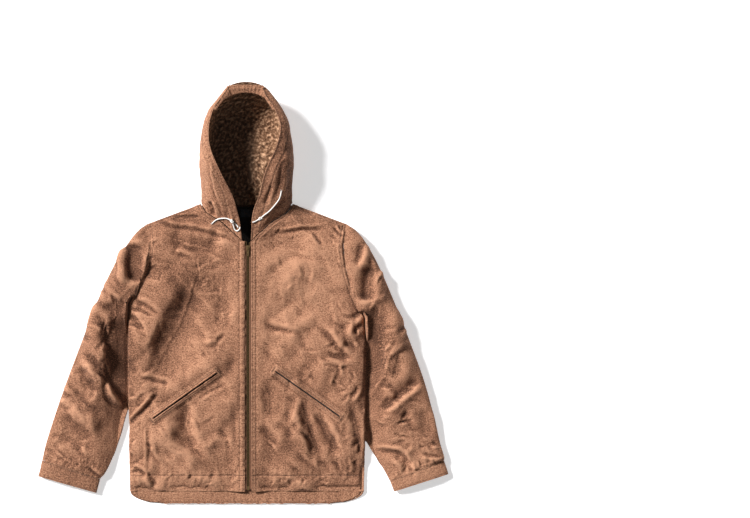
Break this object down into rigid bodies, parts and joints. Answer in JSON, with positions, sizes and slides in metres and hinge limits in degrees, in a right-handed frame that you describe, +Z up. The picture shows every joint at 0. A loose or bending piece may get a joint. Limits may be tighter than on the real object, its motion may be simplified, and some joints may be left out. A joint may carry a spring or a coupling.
{
  "type": "hooded work jacket",
  "caption": "Hooded canvas work jacket with a pile-lined hood, slanted pockets and a brass zip, laid flat on its back.",
  "frame": {"origin": "on the surface that the jacket lies on, under the middle of its box", "axes": "+Z up, out of the front; +Y from the hem towards the hood; +X towards the wearer's left sleeve"},
  "size_m": [0.957, 0.983, 0.0965],
  "materials": {
    "canvas": "matte plain-weave cotton duck",
    "sherpa": "curly brown pile",
    "label": "plain black woven patch",
    "zip_tape": "brown woven tape",
    "brass": "antique, lightly polished on its edges",
    "cord": "white braided cotton"
  },
  "bodies": {
    "jacket": {"front_left": "canvas", "front_right": "canvas", "back_left": "canvas", "back_right": "canvas", "back_hem_facing": "canvas", "sleeve_top_left": "canvas", "sleeve_top_right": "canvas", "sleeve_under_left": "canvas", "sleeve_under_right": "canvas", "cuff_left": "canvas", "cuff_right": "canvas", "hood_side_left": "canvas", "hood_side_right": "canvas", "hood_centre": "canvas", "pocket_jet_upper_left": "canvas", "pocket_jet_lower_left": "canvas", "pocket_jet_upper_right": "canvas", "pocket_jet_lower_right": "canvas", "hood_lining": "sherpa", "neck_label": "label", "zip_tape_left": "zip_tape", "zip_tape_right": "zip_tape", "zip_teeth_left": "brass", "zip_teeth_right": "brass", "zip_slider": "brass", "zip_bottom_box": "brass", "cord_left": "cord", "cord_right": "cord", "cord_right_return": "cord"},
    "zip_pull": {"zip_pull": "brass"}
  },
  "joints": [
    {"name": "pull_swing", "type": "hinge", "parent": "jacket", "child": "zip_pull", "pos_m": [0.0117, 0.1055, 0.04013], "axis": [-1, 0, 0], "range_deg": [0, 150]}
  ]
}
